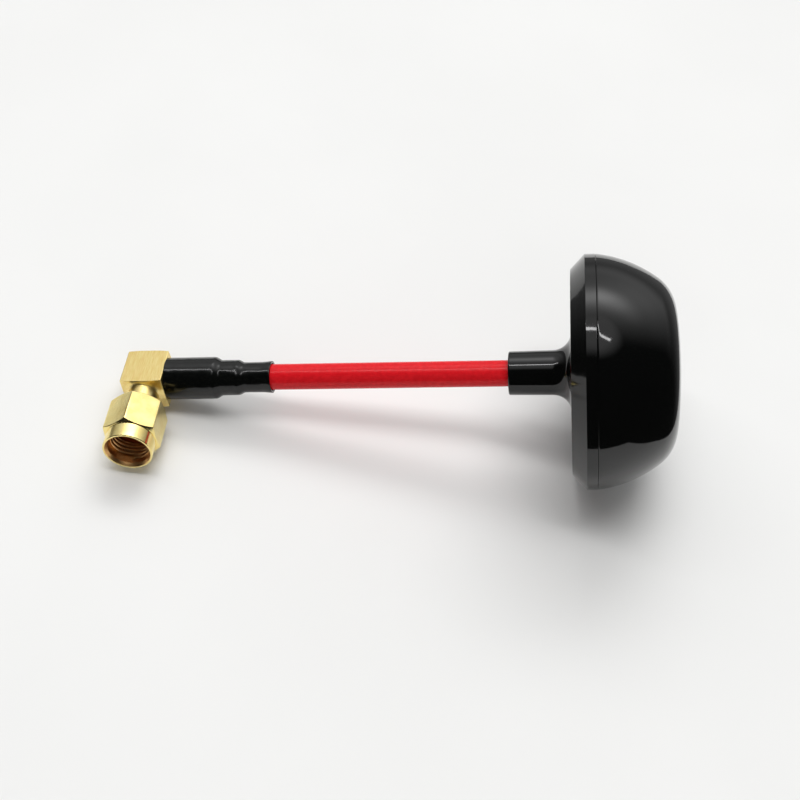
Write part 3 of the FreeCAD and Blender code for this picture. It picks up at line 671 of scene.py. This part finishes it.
jacket_red = red_jacket()
JACKET_START = 9.35
JACKET_END = 68.25
JACKET_RADIUS = 2.03
JACKET_BORE = 1.82
jacket_section = []
for step in range(61):
    jacket_section.append((JACKET_START + (JACKET_END - JACKET_START) * step / 60, JACKET_RADIUS))
jacket_section += [(JACKET_END, JACKET_BORE), (JACKET_START, JACKET_BORE)]
jacket = turned("red_jacket", jacket_section, along_mast, around(96))
fitted(jacket, "mast", "jacket_red", jacket_red, "cable_jacket")


# Radome base
# Injection moulded in glossy black, with a drafted neck that grips the cable, a wide flare and a chamfered back.

def moulded_black():
    finish = Finish("radome_black")
    swirl = finish.cloud(0.12, 2)
    skin = finish.cloud(1.4, 3)
    dust = finish.cloud(3.5, 2)
    return finish.surface(
        Base_Color=finish.mixed(dust.between(0.62, 0.8), (0.0018, 0.002, 0.0019, 1), (0.005, 0.0052, 0.005, 1)),
        Roughness=0.035 + skin * 0.05 + dust.between(0.6, 0.8) * 0.1,
        height=swirl * 0.06 + skin * 0.0015,
    )


radome_black = moulded_black()
NECK_START = 57.15
BASE_REAR = 66.65
RIM_START = 68.8
SEAM = 70.37
LIP_END = 71.77
FLOOR_TOP = 68.25
RIM_RADIUS = 17.85
BACK_RADIUS = 15.6
LIP_RADIUS = 16.35
LIP_BORE = 15.35
NECK_RADIUS = 3.34
NECK_FOOT = 3.46
NECK_FLARE = 2.8
NECK_BORE = 2.08
base_section = eased(
    [
        (NECK_START, NECK_BORE, 0.05),
        (NECK_START, NECK_RADIUS, 0.24),
        (BASE_REAR, NECK_FOOT, NECK_FLARE),
        (BASE_REAR, BACK_RADIUS, 0.12),
        (RIM_START, RIM_RADIUS, 0.1),
        (SEAM, RIM_RADIUS, 0.09),
        (SEAM, LIP_RADIUS, 0),
        (LIP_END, LIP_RADIUS, 0.05),
        (LIP_END, LIP_BORE, 0.05),
        (FLOOR_TOP, LIP_BORE, 0),
        (FLOOR_TOP, NECK_BORE, 0),
    ],
    steps=10,
)
base = turned("radome_base_moulding", base_section, along_mast, around(256))
fitted(base, "mast", "radome_black", radome_black, "radome_base")


# Radome dome
# Injection moulded in the same glossy black, with a shallow crown, a rounded shoulder and slightly leaning sides.
# It closes on the base's lip at a fine seam.

DOME_TOP = 82.82
DOME_WALL = 1.2
CROWN_RADIUS = 75.0
CROWN_EDGE = 9.7
SHOULDER_RADIUS = 6.5
SHOULDER_START = math.asin(CROWN_EDGE / CROWN_RADIUS)
SHOULDER_END = math.radians(52.5)
CROWN = (DOME_TOP - CROWN_RADIUS, 0.0, CROWN_RADIUS)
to_shoulder = CROWN_RADIUS - SHOULDER_RADIUS
SHOULDER = (
    CROWN[0] + to_shoulder * math.cos(SHOULDER_START),
    to_shoulder * math.sin(SHOULDER_START),
    SHOULDER_RADIUS,
)
leaving = Vector((math.cos(SHOULDER_END), math.sin(SHOULDER_END)))
span = Vector((SEAM - SHOULDER[0], RIM_RADIUS - SHOULDER[1])) - SHOULDER_RADIUS * leaving
side_radius = -span.length_squared / (2 * span.dot(leaving))
SIDE = (
    SHOULDER[0] - (side_radius - SHOULDER_RADIUS) * leaving.x,
    SHOULDER[1] - (side_radius - SHOULDER_RADIUS) * leaving.y,
    side_radius,
)
SIDE_END = math.acos((SEAM - SIDE[0]) / SIDE[2])


def dome_line(wall):
    """Points of the dome's half section from its top to its seam, set in by a wall."""
    points = []
    arcs = [(CROWN, 0.0, SHOULDER_START, 26), (SHOULDER, SHOULDER_START, SHOULDER_END, 30)]
    arcs.append((SIDE, SHOULDER_END, SIDE_END, 34))
    for (along, out, radius), start, end, steps in arcs:
        for step in range(steps):
            angle = start + (end - start) * step / steps
            points.append((along + (radius - wall) * math.cos(angle), out + (radius - wall) * math.sin(angle)))
    return points


outer_line = dome_line(0.0)
inner_line = dome_line(DOME_WALL)[::-1]
# the dome's edge is rounded at the seam, then runs inwards and steps back over the base's lip
seam_line = []
for past_seam, set_in in ((0.1, 0.025), (0.045, 0.05), (0.02, 0.13), (0.02, 1.4), (LIP_END - SEAM + 0.05, 1.4)):
    seam_line.append((SEAM + past_seam, RIM_RADIUS - set_in))
dome = turned("radome_dome_moulding", outer_line + seam_line + inner_line, along_mast, around(256))
fitted(dome, "mast", "radome_black", radome_black, "radome_dome")


# Element, solder and glue
# Three bent loops of bare copper wire, soldered to the braid and to the centre wire at the hub, under the dome. A
# bead of milky hot-melt glue holds the cable in the base.

lobe_wires = [node for node in frame["nodes"] if node.startswith("lobe_wire")]
dressed(drawn_metal("wire_copper", (0.62, 0.28, 0.14, 1), (0.80, 0.42, 0.25, 1), 0.2), *lobe_wires)
solder = drawn_metal("solder", (0.50, 0.50, 0.49, 1), (0.70, 0.70, 0.69, 1), 0.22, 0.02)
dressed(solder, "ground_solder", "feed_solder")
dressed(soft_plastic("glue_clear", (0.62, 0.57, 0.44, 1), (0.78, 0.74, 0.62, 1), 0.25, 0.02), "glue_bead")


# Floor, light and camera
# A pale table under soft light. Behind it stands a bright window in a pale wall, overhead hangs a long lamp under a
# pale ceiling, and in front the room is dark.

def floor_finish():
    finish = Finish("floor_white")
    mottle = finish.cloud(0.02, 3)
    return finish.surface(
        Base_Color=finish.mixed(mottle.between(0.3, 0.7), (0.82, 0.82, 0.81, 1), (0.84, 0.84, 0.83, 1)),
        Roughness=0.6,
        Specular_IOR_Level=0.2,
    )


# only the near part of the table shows in the glossy pieces
left, right = -0.09, 0.07
front_edge, back_edge = -0.06, 0.118
reach = 6.0
rectangles = {
    "floor_table": [(left, front_edge, right, back_edge)],
    "floor_beyond": [
        (-reach, -reach, reach, front_edge),
        (-reach, back_edge, reach, reach),
        (-reach, front_edge, left, back_edge),
        (right, front_edge, reach, back_edge),
    ],
}
floor_white = floor_finish()
for name, parts in rectangles.items():
    corners = []
    for low_x, low_y, high_x, high_y in parts:
        corners += [(low_x, low_y, 0), (high_x, low_y, 0), (high_x, high_y, 0), (low_x, high_y, 0)]
    mesh = bpy.data.meshes.new(name)
    mesh.from_pydata(corners, [], [tuple(range(first, first + 4)) for first in range(0, len(corners), 4)])
    mesh.materials.append(floor_white)
    floor = bpy.data.objects.new(name, mesh)
    floor.visible_glossy = name == "floor_table"
    bpy.context.scene.collection.objects.link(floor)


def lamp(name, toward, distance, size, share, heading=(1, 0, 0), mirrored=False):
    """A soft lamp that faces the object and gives that share of the floor's light; mirrored ones show in gloss."""
    light = bpy.data.lights.new(name, "AREA")
    light.shape = "RECTANGLE"
    light.size, light.size_y = size
    away = Vector(toward).normalized()
    light.energy = share * (math.pi * distance) ** 2 / away.z
    across = away.cross(Vector(heading)).normalized()
    item = bpy.data.objects.new(name, light)
    item.matrix_world = Matrix((across.cross(away), across, away)).transposed().to_4x4()
    item.location = away * distance
    item.visible_camera = False
    item.visible_glossy = mirrored
    bpy.context.scene.collection.objects.link(item)


lamp("lamp_above", (0.0, 0.02, 1.0), 0.8, (0.6, 0.2), 0.22)
lamp("window_light", (0.1, 0.66, 0.75), 0.8, (0.5, 0.2), 0.16)
lamp("room_front", (0.1, -0.8, 0.6), 0.9, (1.2, 0.6), 0.13)
lamp("long_lamp", (-0.24, 0.058, 1.0), 0.93, (1.1, 0.042), 0.2, (1.0, -0.35, 0.0), mirrored=True)


class Room(Finish):
    """The room's light by direction: x to the right, y behind the antenna, z up."""

    def __init__(self, name):
        self.world = bpy.data.worlds.new(name)
        self.world.use_nodes = True
        self.tree = self.world.node_tree
        self.tree.nodes.clear()
        self.place = self.node("ShaderNodeTexCoord", output="Generated")

    def glow(self, toward, spread):
        """1 in a direction, falling off smoothly by its own spread along each axis."""
        distance = 0.0
        for part, middle, width in zip(self.axes(), toward, spread):
            offset = (part - middle) / width
            distance = offset * offset + distance
        return self.node("ShaderNodeMath", {"operation": "EXPONENT"}, {0: 0.0 - distance})


room = Room("room")
side, behind, up = room.axes()
wall = (behind + up * up * 0.35).between(0.1, 0.8)
ceiling = up.between(0.88, 0.975)
paleness = 0.25 + up.between(0.0, 0.3) * 0.45 + up.between(0.35, 0.65) * 0.3
light = 0.025 + wall.larger(ceiling) * paleness
window = room.glow((0.06, 0.61, 0.79), (0.38, 0.3, 0.12))
wall_beside_window = room.glow((0.5, 0.7, 0.5), (0.3, 0.3, 0.25))
light = light + window * 3.4
light = light + wall_beside_window * 0.4
seen = room.node("ShaderNodeLightPath")
light = light + seen * (1.0 - light)
shown = room.node("ShaderNodeBackground", None, {"Strength": light})
room.node("ShaderNodeOutputWorld", None, {"Surface": shown})
bpy.context.scene.world = room.world

bpy.context.scene.view_settings.view_transform = "Standard"
LOOKING_DOWN = 52.527
camera_data = bpy.data.cameras.new("camera")
camera_data.lens = 58.062
camera = bpy.data.objects.new("camera", camera_data)
heading = Matrix.Rotation(math.radians(-1.911), 4, "Z")
tilt = Matrix.Rotation(math.radians(90 - LOOKING_DOWN), 4, "X")
roll = Matrix.Rotation(math.radians(7.760), 4, "Z")
camera.matrix_world = Matrix.Translation((-0.003036, -0.124597, 0.168149)) @ heading @ tilt @ roll
bpy.context.scene.collection.objects.link(camera)
bpy.context.scene.camera = camera
